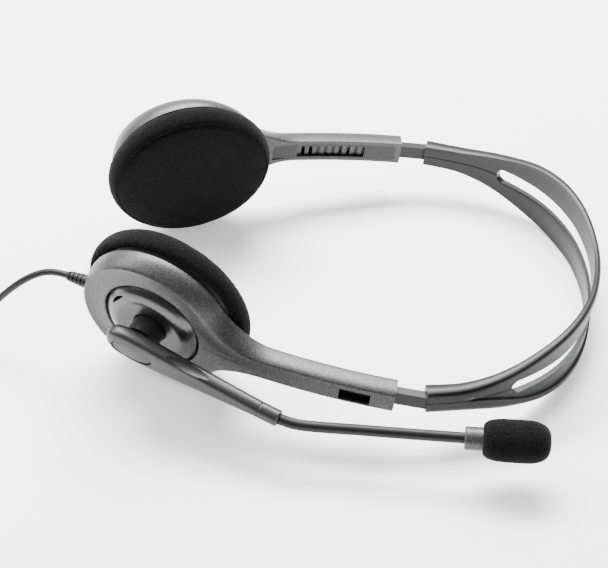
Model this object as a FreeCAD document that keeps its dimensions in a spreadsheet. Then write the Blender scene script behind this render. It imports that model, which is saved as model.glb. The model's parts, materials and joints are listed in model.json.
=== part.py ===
"""Office headset: an on-ear stereo headset with a rotating boom microphone, lying on its side.

The headset is drawn in its own plane first (x to the crown of the band, y across the head, z along the
band's width) and every piece is then set down on the surface by one shared placement. Each earpiece has
a cup frame: origin on its axis at the shell's rim, z outward, x in the cup's plane towards the band.
"""
import FreeCAD, Part
import math
import os
import Sketcher
from FreeCAD import Placement, Rotation, Vector

LEFT = -1
RIGHT = 1
SIDES = {"left": LEFT, "right": RIGHT}
AXIS_X = Vector(1, 0, 0)
AXIS_Y = Vector(0, 1, 0)
AXIS_Z = Vector(0, 0, 1)
ORIGIN = Vector(0, 0, 0)

# Driving dimensions in millimetres and degrees.
DIMENSIONS = {
    # how the whole headset lies: nose-down tilt of its plane, and its place over the origin
    "lying_tilt": 4.2, "lying_lift": 12.05, "centre_x": 82.5, "centre_y": 9.8,
    # headband
    "band_crown_thickness": 2.1, "band_end_thickness": 5.0, "band_slot_half_height": 2.7,
    "band_groove_depth": 0.8, "band_groove_half_height": 2.3,
    # how far along the band, from its crown, the slot and the groove beyond it reach
    "slot_share": 0.70, "groove_share": 0.86,
    # adjustable arms: the bar follows an arc about a far centre
    "arm_radius": 230, "arm_start_x": -63.5, "arm_start_y": 60.4, "arm_start_toe": 5.0,
    "arm_pitch": 3.3, "arm_rise": 0.4, "arm_thickness": 6.4, "arm_inner_wall": 2.6, "arm_width": 8.3,
    "arm_length": 48, "arm_panel_width": 5.6, "channel_thickness": 3.1, "channel_width": 5.0, "channel_length": 41,
    "cover_thickness": 1.05, "cover_width": 6.0, "cover_start": 2, "cover_end": 46,
    "cover_window_start": 13, "cover_window_end": 37, "cover_window_width": 4.4,
    "outer_window_start": 7.2, "outer_window_end": 16.6, "outer_window_rise": 1.4, "outer_window_drop": 2.6,
    "spring_start": 4, "spring_end": 12, "spring_top": 3.0, "spring_half": 1.2, "bump_half": 0.6,
    "screw_place": 43.4, "screw_head": 1.4, "screw_shank": 0.7, "screw_length": 3.4,
    # sliders
    "slider_thickness": 2.8, "slider_width": 4.7, "slider_reach": 30, "slider_exposed": 9.2,
    "slider_root": 11, "slider_flare": 11, "notch_pitch": 3.5, "notch_depth": 1.0, "notch_length": 1.5,
    "notch_margin": 4,
    # where the cups sit and how they face
    "cup_x": -136.8, "cup_y": 38, "left_cup_z": 0.5, "right_cup_z": 1.76,
    "left_toe": 23.4, "left_cant": 9.6, "right_toe": 19.4, "right_cant": -8.8,
    # cup shell
    "shell_radius": 25.3, "shell_crease_radius": 22.6, "shell_depth": 5.9, "shell_rim": -0.8, "shell_wall": 1.6,
    "recess_radius": 16.2, "recess_floor": 2.8, "inner_floor": 1.3,
    # dial, hub and boom
    "dial_radius": 15.9, "dial_bore": 5.45, "dial_top": 8.4, "hub_radius": 5.3,
    "boom_height": 15.2, "boom_angle": -4.2, "boom_front": 2.9, "boom_back": 2.8,
    "boom_head_radius": 4.6, "boom_head_offset": 3.4, "boom_length": 43, "boom_end_half": 2.6,
    "badge_length": 13.4, "badge_width": 6.0, "badge_thickness": 0.5,
    "collar_radius": 2.6, "collar_length": 6.3,
    "gooseneck_radius": 1.7, "gooseneck_reach": 5.0, "gooseneck_in_mic": 2.9,
    # microphone
    "mic_radius": 3.5, "windscreen_radius": 6.45, "windscreen_tip": 25.4,
    # ear capsule
    "ball_radius": 1.9, "ball_height": -0.3, "post_radius": 1.2, "socket_radius": 2.75, "running_gap": 0.05,
    "socket_mouth": 1.05, "boss_radius": 4.1, "boss_height": 3.9, "boss_foot": -3.2,
    "pad_radius": 27.9, "pad_front": 9.9, "pad_back": 2.6, "housing_radius": 24.2, "driver_radius": 15.5,
    # cord
    "cord_diameter": 2.2, "cord_lead": 6.0, "coil_x": -145.5, "coil_y": 11.3, "coil_radius": 16,
    "coil_half_width": 5.3, "coil_height": 9.6, "tie_angle": 125, "tie_width": 4.0, "tie_thickness": 0.8,
    "relief_start": 22.6, "relief_across": 2.3, "relief_height": 2.0, "relief_droop": 8, "relief_root": 2.1,
    "relief_tip": 9.6, "plug_x": -169.2, "plug_y": 21.3, "plug_height": 3.9, "plug_body_radius": 3.7,
}

# The band's middle line from its crown to a sleeve's mouth, and its half width there.
BAND_HALF = [
    (0, 0, 11.3), (-2.4, 18.6, 12.1), (-8.3, 33.0, 12.3), (-17.1, 44.2, 10.7),
    (-29.4, 53.1, 7.0), (-41.8, 58.0, 4.4), (-54.4, 60.6, 3.9),
]
# The flare from the cup to the arm's bar, seen in the cup's frame: distance from the cup's axis, half
# width at the bottom and at the top, and the heights of the bottom and the top.
NECK_SECTIONS = [(28, 5.4, 3.8, -1.1, 4.9), (24.5, 8.6, 6.4, -0.6, 5.2), (19.5, 15.2, 11.0, -0.4, 5.4)]
# The gooseneck in the boom's frame: straight out of the collar, one bend, straight to the microphone.
GOOSENECK_BEND = Vector(54.6, 0, 0)
GOOSENECK_END = Vector(100.8, 7.5, -18.1)
# The cord after its lead: down to the surface and round into the coil, then out of it to the plug.
CORD_ROUTE = [
    Vector(-96.4, -15.2, 28.8), Vector(-103.6, -15.0, 22.6), Vector(-110.6, -14.8, 14.8),
    Vector(-117.8, -14.3, 7.2), Vector(-126.0, -12.8, 2.4), Vector(-135.0, -10.3, 1.3), Vector(-144.5, -8.0, 1.9),
]
TAIL_ROUTE = [Vector(-165.0, 9.2, 3.5), Vector(-169.2, 15.4, 3.9)]
RELIEF_RIBS = 4
NOTCHES = 6
# Rings of sound holes in the baffle: ring radius and how many holes lie on it.
SOUND_HOLES = [(0, 1), (5, 6), (10, 12)]
SOUND_HOLE_RADIUS = 1.0

doc = FreeCAD.newDocument("office_headset")
sheet = doc.addObject("Spreadsheet::Sheet", "Sizes")
for row, (alias, number) in enumerate(DIMENSIONS.items(), start=1):
    sheet.set(f"A{row}", alias)
    sheet.set(f"B{row}", str(number))
    sheet.setAlias(f"B{row}", alias)
doc.recompute()

pieces = []


def size(alias):
    """The value of one named dimension of the sheet."""
    return float(sheet.get(alias))


def value(expression):
    """What a sketch or frame expression over the sheet's names comes to."""
    return float(sheet.evalExpression(expression))


# ---------------------------------------------------------------- frames

def turned_about_y(degrees):
    return Rotation(AXIS_Y, degrees)


LYING = Placement(Vector(size("centre_x"), size("centre_y"), size("lying_lift")),
                  turned_about_y(size("lying_tilt")))
ARM_START = Vector(size("arm_start_x"), 0, size("arm_rise"))
ARM_PLANE = LYING * Placement(ARM_START, turned_about_y(size("arm_pitch")))


def arm_point(x, y, z=0):
    """A point of the headset's plane, written in the pitched arm plane."""
    return Vector(x - size("arm_start_x"), y, z)


def cup_frame(name):
    side = SIDES[name]
    toe = math.radians(size(f"{name}_toe"))
    cant = math.radians(size(f"{name}_cant"))
    outward = Vector(-math.sin(toe) * math.cos(cant), side * math.cos(toe) * math.cos(cant), -math.sin(cant))
    along = Vector(math.cos(toe), side * math.sin(toe), 0)
    centre = arm_point(size("cup_x"), side * size("cup_y"), size(f"{name}_cup_z"))
    return ARM_PLANE * Placement(centre, Rotation(along, outward.cross(along), outward, "ZXY"))


def inward_frame(name):
    """The cup frame turned over, so that heights are depths towards the ear."""
    return cup_frame(name) * Placement(ORIGIN, Rotation(AXIS_X, 180))


def boom_frame():
    lift = Placement(Vector(0, 0, size("boom_height")), Rotation(AXIS_Z, size("boom_angle")))
    return cup_frame("left") * lift


# ---------------------------------------------------------------- helpers

def keep(node, label):
    node.Label = label
    pieces.append(node)
    return node


def origin_plane(body, role):
    return next(feature for feature in body.Origin.OriginFeatures if feature.Role == role)


def new_body(name, frame):
    body = doc.addObject("PartDesign::Body", name + "_body")
    body.Placement = frame
    return body


def new_sketch(body, name, role):
    sketch = body.newObject("Sketcher::SketchObject", name + "_sketch")
    sketch.AttachmentSupport = [(origin_plane(body, role), "")]
    sketch.MapMode = "FlatFace"
    return sketch


def outline(sketch, corners):
    """A closed outline of straight lines, each corner held by two dimensions from the origin."""
    spots = [Vector(value(across), value(up), 0) for across, up in corners]
    count = len(spots)
    for index, spot in enumerate(spots):
        sketch.addGeometry(Part.LineSegment(spot, spots[(index + 1) % count]), False)
    for index in range(count):
        sketch.addConstraint(Sketcher.Constraint("Coincident", index, 2, (index + 1) % count, 1))
    for index, (across, up) in enumerate(corners):
        spot = spots[index]
        for kind, expression, amount in (("DistanceX", across, spot.x), ("DistanceY", up, spot.y)):
            number = sketch.addConstraint(Sketcher.Constraint(kind, -1, 1, index, 1, amount))
            sketch.setExpression(f"Constraints[{number}]", expression)


def cells(corners):
    """Corners as expressions: a name stands for the sheet's cell, a number for itself."""
    return [(str(across), str(up)) for across, up in corners]


def turned(label, frame, corners):
    """A turned piece: corners are (radius, height) about the frame's z axis."""
    body = new_body(label, frame)
    sketch = new_sketch(body, label, "XZ_Plane")
    outline(sketch, cells(corners))
    turn = body.newObject("PartDesign::Revolution", label + "_turn")
    turn.Profile = sketch
    turn.ReferenceAxis = (sketch, ["V_Axis"])
    turn.Angle = 360
    sketch.Visibility = False
    return keep(body, label)


def cylinder(name, radius, height, place):
    """A cylinder whose radius and height are bound to the sheet."""
    shape = doc.addObject("Part::Cylinder", name)
    shape.setExpression("Radius", radius)
    shape.setExpression("Height", height)
    shape.Placement = place
    return shape


def cut(name, base, tool):
    result = doc.addObject("Part::Cut", name)
    result.Base = base
    result.Tool = tool
    return result


def fuse(name, shapes):
    result = doc.addObject("Part::MultiFuse", name)
    result.Shapes = shapes
    return result


def free_shape(label, shape, frame):
    """A piece that neither a sketch nor a primitive suits: its shape first, then its place."""
    piece = doc.addObject("Part::Feature", label + "_solid")
    piece.Shape = shape
    piece.Placement = frame
    return keep(piece, label)


def at(frame, x=0, y=0, z=0):
    return frame * Placement(Vector(x, y, z), Rotation())


# ---------------------------------------------------------------- arcs of the arms

def arc_centre(side):
    toe = math.radians(size("arm_start_toe"))
    radius = size("arm_radius")
    return arm_point(size("arm_start_x") + radius * math.sin(toe),
                     side * (size("arm_start_y") - radius * math.cos(toe)))


def along_arc(side, distance, offset=0, height=0):
    """A point of the arm, at a distance from its mouth, an offset outward and a height."""
    angle = math.radians(90 + size("arm_start_toe")) + distance / size("arm_radius")
    reach = size("arm_radius") + offset
    centre = arc_centre(side)
    return Vector(centre.x + reach * math.cos(angle), centre.y + side * reach * math.sin(angle), height)


def section(side, distance, corners):
    """A flat section across the arm: corners are (offset outward, height)."""
    points = [along_arc(side, distance, offset, height) for offset, height in corners]
    return Part.makePolygon(points + points[:1])


def swept(side, start, end, corners):
    """A section of (offset, height) corners that follows the arm's arc from start to end."""
    sweep = math.degrees((end - start) / size("arm_radius"))
    return Part.Face(section(side, start, corners)).revolve(arc_centre(side), AXIS_Z * side, sweep)


def swept_block(side, start, end, inner, outer, low, high):
    return swept(side, start, end, [(inner, low), (outer, low), (outer, high), (inner, high)])


def in_arm_plane(name, shape):
    """A shape of the cup frame, moved into the arm plane's own coordinates."""
    moved = shape.copy()
    moved.Placement = ARM_PLANE.inverse() * cup_frame(name) * moved.Placement
    return moved


def revolved(corners):
    """A turned solid about z from (radius, height) corners."""
    points = [Vector(radius, 0, height) for radius, height in corners]
    return Part.Face(Part.makePolygon(points + points[:1])).revolve(ORIGIN, AXIS_Z, 360)


# ---------------------------------------------------------------- headband


def smooth_edge(points):
    edge = Part.BSplineCurve()
    edge.interpolate(points)
    return edge


def band_line():
    """The middle line as one curve from the right sleeve over the crown to the left one."""
    right = [Vector(x, y, 0) for x, y, _ in reversed(BAND_HALF)]
    left = [Vector(x, -y, 0) for x, y, _ in BAND_HALF[1:]]
    return smooth_edge(right + left)


def band_prism(inner, outer, share, low, high):
    """The part of the band between two offsets, written in half thicknesses or as extra reach."""
    line = band_line()
    first, last = line.FirstParameter, line.LastParameter
    middle = (first + last) / 2
    steps = 12
    edges = {inner: [], outer: []}
    for step in range(-steps, steps + 1):
        portion = share * step / steps
        parameter = middle + portion * (last - first) / 2
        spot = line.value(parameter)
        tangent = line.tangent(parameter)[0]
        normal = Vector(-tangent.y, tangent.x, 0)
        thickness = size("band_crown_thickness") + portion ** 2 * (
            size("band_end_thickness") - size("band_crown_thickness"))
        for reach in edges:
            edges[reach].append(spot + normal * (thickness / 2 * reach[0] + reach[1]))
    near, far = smooth_edge(edges[inner]), smooth_edge(edges[outer])
    sides = [near.toShape(), Part.makeLine(edges[inner][-1], edges[outer][-1]), far.toShape(),
             Part.makeLine(edges[outer][0], edges[inner][0])]
    face = Part.Face(Part.Wire(Part.sortEdges(sides)[0]))
    face.translate(Vector(0, 0, low))
    return face.extrude(Vector(0, 0, high - low))


def band_side_profile():
    """The band's width, tapering from the crown to the sleeves, drawn from the side."""
    beyond_crown, beyond_sleeve = 4, -60
    top = [Vector(x, 0, half) for x, _, half in BAND_HALF]
    low = [Vector(x, 0, -half) for x, _, half in reversed(BAND_HALF)]
    crown_half, end_half = BAND_HALF[0][2], BAND_HALF[-1][2]
    corners = [Vector(beyond_sleeve, 0, end_half), Vector(beyond_sleeve, 0, -end_half),
               Vector(beyond_crown, 0, -crown_half), Vector(beyond_crown, 0, crown_half)]
    edges = [smooth_edge(top).toShape(), Part.makeLine(top[-1], corners[0]),
             Part.makeLine(corners[0], corners[1]), Part.makeLine(corners[1], low[0]),
             smooth_edge(low).toShape(), Part.makeLine(low[-1], corners[2]),
             Part.makeLine(corners[2], corners[3]), Part.makeLine(corners[3], top[0])]
    face = Part.Face(Part.Wire(Part.sortEdges(edges)[0]))
    face.translate(Vector(0, -100, 0))
    return face.extrude(Vector(0, 200, 0))


def slot_end(side, height):
    """The rounded end of the slot, square to the band where the slot stops."""
    line = band_line()
    middle = (line.FirstParameter + line.LastParameter) / 2
    parameter = middle - side * size("slot_share") * (line.LastParameter - line.FirstParameter) / 2
    spot = line.value(parameter)
    tangent = line.tangent(parameter)[0]
    normal = Vector(-tangent.y, tangent.x, 0)
    return Part.makeCylinder(height, 12, spot - normal * 6, normal)


def make_headband():
    half = size("band_slot_half_height")
    groove = size("band_groove_half_height")
    band = band_prism((-1, 0), (1, 0), 1, -14, 14).common(band_side_profile())
    band = band.cut(band_prism((-1, -3), (1, 3), size("slot_share"), -half, half))
    for side in SIDES.values():
        band = band.cut(slot_end(side, half))
    groove_floor = (1, -size("band_groove_depth"))
    band = band.cut(band_prism(groove_floor, (1, 3), size("groove_share"), -groove, groove))
    for name, side in SIDES.items():
        tool = slider_shape(side, 0.0, notched=False)
        tool.Placement = LYING.inverse() * ARM_PLANE
        band = band.cut(tool)
    free_shape("headband", band.removeSplitter(), LYING)


# ---------------------------------------------------------------- sliders

def slider_shape(side, gap, notched=True):
    thick = size("slider_thickness") / 2 + gap
    wide = size("slider_width") / 2 + gap
    start = -size("slider_exposed")
    strip = swept_block(side, start, size("slider_reach"), -thick, thick, -wide, wide)
    mouth = section(side, start, [(-thick, -wide), (thick, -wide), (thick, wide), (-thick, wide)])
    flare = math.radians(size("slider_flare"))
    root = Part.Face(mouth).extrude(Vector(math.cos(flare), -side * math.sin(flare), 0) * size("slider_root"))
    strip = strip.fuse(root)
    if notched:
        for step in range(NOTCHES):
            low = size("slider_reach") - size("notch_margin") - step * size("notch_pitch")
            notch = swept_block(side, low - size("notch_length"), low, -thick - 1, thick + 1,
                                wide - size("notch_depth"), wide + 1)
            strip = strip.cut(notch)
    return strip.removeSplitter()


def make_sliders():
    for name, side in SIDES.items():
        free_shape(f"slider_{name}", slider_shape(side, 0), ARM_PLANE)


# ---------------------------------------------------------------- arms and cup shells

def arm_faces():
    """How far the arm's inner and outer faces are from the slider's middle line."""
    inner = -size("arm_inner_wall")
    return inner, inner + size("arm_thickness")


def arm_corners():
    """The arm's section: a flat inner face, rounded shoulders and a narrower flat panel outside."""
    inner, outer = arm_faces()
    half, panel = size("arm_width") / 2, size("arm_panel_width") / 2
    shoulder = [(inner, half), (inner + 1.2, half), (inner + 3.0, half - 0.25), (outer - 1.5, panel + 0.65),
                (outer, panel)]
    return shoulder + [(offset, -height) for offset, height in reversed(shoulder)]


def neck(name, side):
    """The flare between the bar and the cup: sections that widen as they near the cup."""
    inner, outer = arm_faces()
    half, panel = size("arm_width") / 2, size("arm_panel_width") / 2
    bar_end = [(inner, -half), (outer, -panel), (outer, panel), (inner, half)]
    wires = [section(side, size("arm_length") - 4, bar_end)]
    to_arm = ARM_PLANE.inverse() * cup_frame(name)
    for across, wide, narrow, low, high in NECK_SECTIONS:
        corners = [Vector(across, -wide, low), Vector(across, -narrow, high),
                   Vector(across, narrow, high), Vector(across, wide, low)]
        wires.append(Part.makePolygon([to_arm.multVec(corner) for corner in corners + corners[:1]]))
    return Part.makeLoft([aligned(wire, wires[0]) for wire in wires], True, True)


def aligned(wire, model):
    """The same closed wire, starting at the corner that matches the model's first corner."""
    corners = [vertex.Point for vertex in wire.OrderedVertexes]
    targets = [vertex.Point for vertex in model.OrderedVertexes]
    centre = sum(corners, Vector()) * (1 / len(corners))
    target_centre = sum(targets, Vector()) * (1 / len(targets))
    orders = [way[start:] + way[:start] for way in (corners, corners[::-1]) for start in range(len(corners))]
    best = min(orders, key=lambda order: sum(
        ((corner - centre).normalize() - (target - target_centre).normalize()).Length
        for corner, target in zip(order, targets)))
    return Part.makePolygon(best + best[:1])


def shell_disc():
    rim, crease, depth = size("shell_radius"), size("shell_crease_radius"), size("shell_depth")
    dish = depth - 0.2
    return revolved([(0, size("shell_rim")), (rim - 0.1, size("shell_rim")), (rim, 0.4), (rim - 0.4, 2.0),
                     (rim - 1.2, 3.6), (crease, depth - 0.6), (crease - 0.9, depth), (crease - 2.2, dish),
                     (0, dish)])


def shell_cavity():
    rim, wall = size("shell_radius"), size("shell_wall")
    inside, floor = size("recess_radius") + wall, size("inner_floor")
    return revolved([(0, -4), (rim - wall, -4), (rim - wall, 1.2), (rim - wall - 0.8, 2.7),
                     (rim - wall - 2.2, 3.8), (inside, 3.6), (inside, floor), (0, floor)])


def cup_tools(side):
    """What is cut out of a cup's shell, in the cup's frame."""
    recess = Part.makeCylinder(size("recess_radius"), size("shell_depth"), Vector(0, 0, size("recess_floor")))
    post_hole = Part.makeCylinder(size("post_radius"), size("shell_depth"), Vector(0, 0, size("ball_height")))
    tools = [shell_cavity(), recess, post_hole]
    if side == LEFT:
        relief_hole = Part.makeCylinder(size("relief_root"), 6, Vector(0, 0, -3))
        relief_hole.Placement = relief_seat()
        tools.append(relief_hole)
    return tools


def arm_tools(side):
    """What is cut out of an arm: the channel, the cover's seat, the window, and room for spring and screw."""
    inner, outer = arm_faces()
    channel, channel_half = size("channel_thickness") / 2, size("channel_width") / 2
    cover_half = size("cover_width") / 2
    slack = 0.3
    return [
        swept_block(side, -1, size("channel_length"), -channel, channel, -channel_half, channel_half),
        swept_block(side, size("cover_start"), size("cover_end"), inner - 1, inner + size("cover_thickness"),
                    -cover_half, cover_half),
        swept_block(side, size("outer_window_start"), size("outer_window_end"), 0, outer + 1,
                    -size("outer_window_drop"), size("outer_window_rise")),
        swept_block(side, size("spring_start") - slack, size("spring_end") + slack, -channel, channel,
                    0, size("spring_top") + 0.1),
        screw_shape(side, 0.02),
    ]


def cover_shape(side):
    """The cover over the slider's channel, with a long window in it."""
    inner, half = arm_faces()[0], size("cover_width") / 2
    window = size("cover_window_width") / 2
    cover = swept_block(side, size("cover_start"), size("cover_end"), inner, inner + size("cover_thickness"),
                        -half, half)
    cover = cover.cut(swept_block(side, size("cover_window_start"), size("cover_window_end"), inner - 1, 0,
                                  -window, window))
    return cover.cut(screw_shape(side, size("running_gap")))


def make_arms():
    for name, side in SIDES.items():
        bar = swept(side, 0, size("arm_length"), arm_corners())
        arm = bar.fuse([neck(name, side), in_arm_plane(name, shell_disc())])
        for tool in cup_tools(side):
            arm = arm.cut(in_arm_plane(name, tool))
        for tool in arm_tools(side):
            arm = arm.cut(tool)
        free_shape(f"arm_shell_{name}", arm.removeSplitter(), ARM_PLANE)
        free_shape(f"arm_cover_{name}", cover_shape(side), ARM_PLANE)
        free_shape(f"detent_spring_{name}", spring_shape(side), ARM_PLANE)
        free_shape(f"cover_screw_{name}", screw_shape(side, 0), ARM_PLANE)


def spring_shape(side):
    """A leaf with a low bump in its middle, which clicks into the slider's notches."""
    start, end, top, half = size("spring_start"), size("spring_end"), size("spring_top"), size("spring_half")
    leaf = swept_block(side, start, end, -half, half, top - 0.3, top)
    middle, bump_half = (start + end) / 2, size("bump_half")
    bump = swept_block(side, middle - bump_half, middle + bump_half, -half, half, top - 0.58, top - 0.2)
    return leaf.fuse(bump).removeSplitter()


def screw_shape(side, gap):
    """A small screw through the cover: a flat head and a shank, square to the arm."""
    place = size("screw_place")
    inner = along_arc(side, place, arm_faces()[0])
    direction = (along_arc(side, place, 0) - inner).normalize()
    head = Part.makeCylinder(size("screw_head") + gap, size("cover_thickness"), inner, direction)
    shank = Part.makeCylinder(size("screw_shank") + gap, size("screw_length"), inner, direction)
    return head.fuse(shank).removeSplitter()


# ---------------------------------------------------------------- inside the cups

def sphere(name, radius, place):
    ball = doc.addObject("Part::Sphere", name)
    ball.setExpression("Radius", radius)
    ball.Placement = place
    return ball


def make_swivel(name):
    """A ball on a post under the shell, and the socket snapped over it."""
    centre = at(cup_frame(name), 0, 0, size("ball_height"))
    post = cylinder(f"post_{name}", "Sizes.post_radius", "Sizes.recess_floor - Sizes.ball_height", centre)
    ball = sphere(f"ball_{name}", "Sizes.ball_radius", centre)
    keep(fuse(f"stud_{name}", [post, ball]), f"swivel_stud_{name}")
    outer = sphere(f"socket_outer_{name}", "Sizes.socket_radius", centre)
    inner = sphere(f"socket_inner_{name}", "Sizes.ball_radius + Sizes.running_gap", centre)
    mouth = cylinder(f"socket_mouth_{name}", "2 * Sizes.socket_radius", "2 * Sizes.socket_radius",
                     at(centre, 0, 0, size("socket_mouth")))
    keep(cut(f"socket_{name}", outer, fuse(f"socket_tools_{name}", [inner, mouth])), f"swivel_socket_{name}")


def make_housing(name):
    """The bowl behind the driver, with a boss round the swivel's socket."""
    frame = cup_frame(name)
    boss_place, ball_place = at(frame, 0, 0, size("boss_foot")), at(frame, 0, 0, size("ball_height"))
    boss = cylinder(f"boss_{name}", "Sizes.boss_radius", "Sizes.boss_height", boss_place)
    pocket = sphere(f"pocket_{name}", "Sizes.socket_radius + Sizes.running_gap", ball_place)
    bowl = turned(f"bowl_{name}", inward_frame(name), [
        (4.0, 2.0), ("Sizes.housing_radius - 1", 2.0), ("Sizes.housing_radius", 3.0),
        ("Sizes.housing_radius", 6.6), ("Sizes.housing_radius - 1.4", 6.6), ("Sizes.housing_radius - 1.4", 3.2),
        (4.0, 3.2)])
    pieces.remove(bowl)
    whole = fuse(f"housing_whole_{name}", [boss, bowl])
    keep(cut(f"housing_{name}", whole, pocket), f"speaker_housing_{name}")


def make_driver(name):
    inward = inward_frame(name)
    turned(f"driver_magnet_{name}", inward, [(0, 3.35), (6.0, 3.35), (6.0, 5.2), (0, 5.2)])
    turned(f"driver_frame_{name}", inward, [
        (6.05, 3.5), (8.0, 3.5), ("Sizes.driver_radius", 4.9), ("Sizes.driver_radius", 6.55),
        (14.4, 6.55), (14.4, 5.7), (7.8, 4.5), (6.05, 4.5)])
    turned(f"diaphragm_{name}", inward, [(0, 5.4), (5.0, 5.55), (14.2, 6.0), (14.2, 6.3), (5.0, 5.85), (0, 5.7)])


def make_capsules():
    for name in SIDES:
        make_swivel(name)
        make_housing(name)
        make_driver(name)
        make_baffle(name, inward_frame(name))
        turned(f"ear_pad_{name}", inward_frame(name), [
            (0, 7.9), (24.6, 7.9), (24.6, "Sizes.pad_back"), (26.0, "Sizes.pad_back"), (27.4, 4.0),
            ("Sizes.pad_radius", 5.0), (27.5, 7.1), (26.4, 8.7), (22.0, 9.6), (0, "Sizes.pad_front")])


def make_baffle(name, inward):
    """The perforated plate in front of the driver: a turned plate with rings of sound holes."""
    body = turned(f"baffle_{name}", inward, [
        (0, 6.62), ("Sizes.housing_radius", 6.62), ("Sizes.housing_radius", 7.55), (0, 7.55)])
    sketch = new_sketch(body, f"holes_{name}", "XY_Plane")
    for ring, count in SOUND_HOLES:
        for step in range(count):
            angle = 2 * math.pi * step / count
            spot = Vector(ring * math.cos(angle), ring * math.sin(angle), 0)
            sketch.addGeometry(Part.Circle(spot, AXIS_Z, SOUND_HOLE_RADIUS), False)
    pocket = body.newObject("PartDesign::Pocket", f"holes_cut_{name}")
    pocket.Profile = sketch
    pocket.Type = 1
    pocket.Reversed = True
    sketch.Visibility = False


# ---------------------------------------------------------------- dial, hub, boom

def make_dials():
    """A domed dial in each recess: the left one is bored for the boom's hub, the right one is closed."""
    dome = [("Sizes.dial_radius", "Sizes.recess_floor"), ("Sizes.dial_radius", 5.1),
            ("Sizes.dial_radius - 0.9", 6.1), (13.2, 6.9), (10.4, 7.7), (7.6, 8.2)]
    turned("mic_dial", cup_frame("left"), dome + [
        ("Sizes.dial_bore", "Sizes.dial_top"), ("Sizes.dial_bore", 4.45), (6.7, 4.45), (6.7, "Sizes.recess_floor")])
    turned("side_cap", cup_frame("right"), dome + [(0, "Sizes.dial_top"), (0, "Sizes.recess_floor")])
    turned("boom_hub", cup_frame("left"), [
        (0, 2.9), (6.5, 2.9), (6.5, 4.35), ("Sizes.hub_radius", 4.35),
        ("Sizes.hub_radius", "Sizes.boom_height - Sizes.boom_back"), (0, "Sizes.boom_height - Sizes.boom_back")])


def boom_outline(sketch):
    """The boom seen square on: a round head that tapers to the collar."""
    head, offset = size("boom_head_radius"), size("boom_head_offset")
    length, end = size("boom_length"), size("boom_end_half")
    top, left, low = Vector(-offset, head, 0), Vector(-offset - head, 0, 0), Vector(-offset, -head, 0)
    neck_x = 9
    corners = [low, Vector(neck_x, -head + 0.3, 0), Vector(length, -end, 0), Vector(length, end, 0),
               Vector(neck_x, head - 0.3, 0), top]
    sketch.addGeometry(Part.Arc(top, left, low), False)
    for start, stop in zip(corners, corners[1:]):
        sketch.addGeometry(Part.LineSegment(start, stop), False)


def boom_half(label, thickness, reversed_way):
    body = new_body(label, boom_frame())
    sketch = new_sketch(body, label, "XY_Plane")
    boom_outline(sketch)
    pad = body.newObject("PartDesign::Pad", label + "_pad")
    pad.Profile = sketch
    pad.setExpression("Length", thickness)
    pad.Reversed = reversed_way
    sketch.Visibility = False
    return body


def make_boom():
    frame = boom_frame()
    front = boom_half("boom_front", "Sizes.boom_front", False)
    badge_seat = doc.addObject("Part::Ellipse", "badge_outline")
    badge_seat.setExpression("MajorRadius", "Sizes.badge_length / 2")
    badge_seat.setExpression("MinorRadius", "Sizes.badge_width / 2")
    badge_seat.Placement = at(frame, 0, 0, size("boom_front") - size("badge_thickness"))
    badge = doc.addObject("Part::Extrusion", "badge_plate")
    badge.Base = badge_seat
    badge.DirMode = "Normal"
    badge.setExpression("LengthFwd", "Sizes.badge_thickness")
    badge.Solid = True
    keep(cut("front_seat", front, badge), "boom_front")
    keep(badge, "boom_badge")
    keep(boom_half("boom_back", "Sizes.boom_back", True), "boom_back")

    along = frame * Placement(Vector(size("boom_length"), 0, 0), Rotation(AXIS_Y, 90))
    turned("boom_collar", along, [
        (1.75, 0), ("Sizes.collar_radius - 0.1", 0), ("Sizes.collar_radius", 0.3),
        ("Sizes.collar_radius", "Sizes.collar_length - 0.3"), ("Sizes.collar_radius - 0.3", "Sizes.collar_length"),
        (1.75, "Sizes.collar_length")])
    free_shape("gooseneck", gooseneck_shape(), frame)


def gooseneck_shape():
    """A round flexible stem: straight out of the collar, one easy bend, then straight to the microphone."""
    start = Vector(size("boom_length") + 0.1, 0, 0)
    out = (GOOSENECK_BEND - start).normalize()
    onward = (GOOSENECK_END - GOOSENECK_BEND).normalize()
    end = GOOSENECK_END + onward * size("gooseneck_in_mic")
    path = rounded_path([start, GOOSENECK_BEND, end], size("gooseneck_reach"))
    return round_tube(path, size("gooseneck_radius"), start, out)


def rounded_path(points, tangent_length=None):
    """Straight runs joined by tangent arcs, as large as the runs at each point allow."""
    edges = []
    start = points[0]
    radii = []
    for before, here, after in zip(points, points[1:], points[2:]):
        into, out = here - before, after - here
        turn = into.getAngle(out)
        reach = tangent_length or 0.45 * min(into.Length, out.Length)
        radii.append(reach / math.tan(turn / 2))
        into.normalize()
        out.normalize()
        first, last = here - into * reach, here + out * reach
        bisector = (out - into).normalize()
        apex = here + bisector * (radii[-1] * (1 / math.cos(turn / 2) - 1))
        edges += [Part.LineSegment(start, first).toShape(), Part.Arc(first, apex, last).toShape()]
        start = last
    edges.append(Part.LineSegment(start, points[-1]).toShape())
    return Part.Wire(edges), radii


def round_tube(path, radius, start, direction):
    wire, _ = path
    profile = Part.Wire([Part.makeCircle(radius, start, direction)])
    return wire.makePipeShell([profile], True, False)


# ---------------------------------------------------------------- microphone

def mic_frame():
    frame = boom_frame()
    onward = (GOOSENECK_END - GOOSENECK_BEND).normalize()
    return frame * Placement(GOOSENECK_END, Rotation(AXIS_Z, onward))


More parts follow.
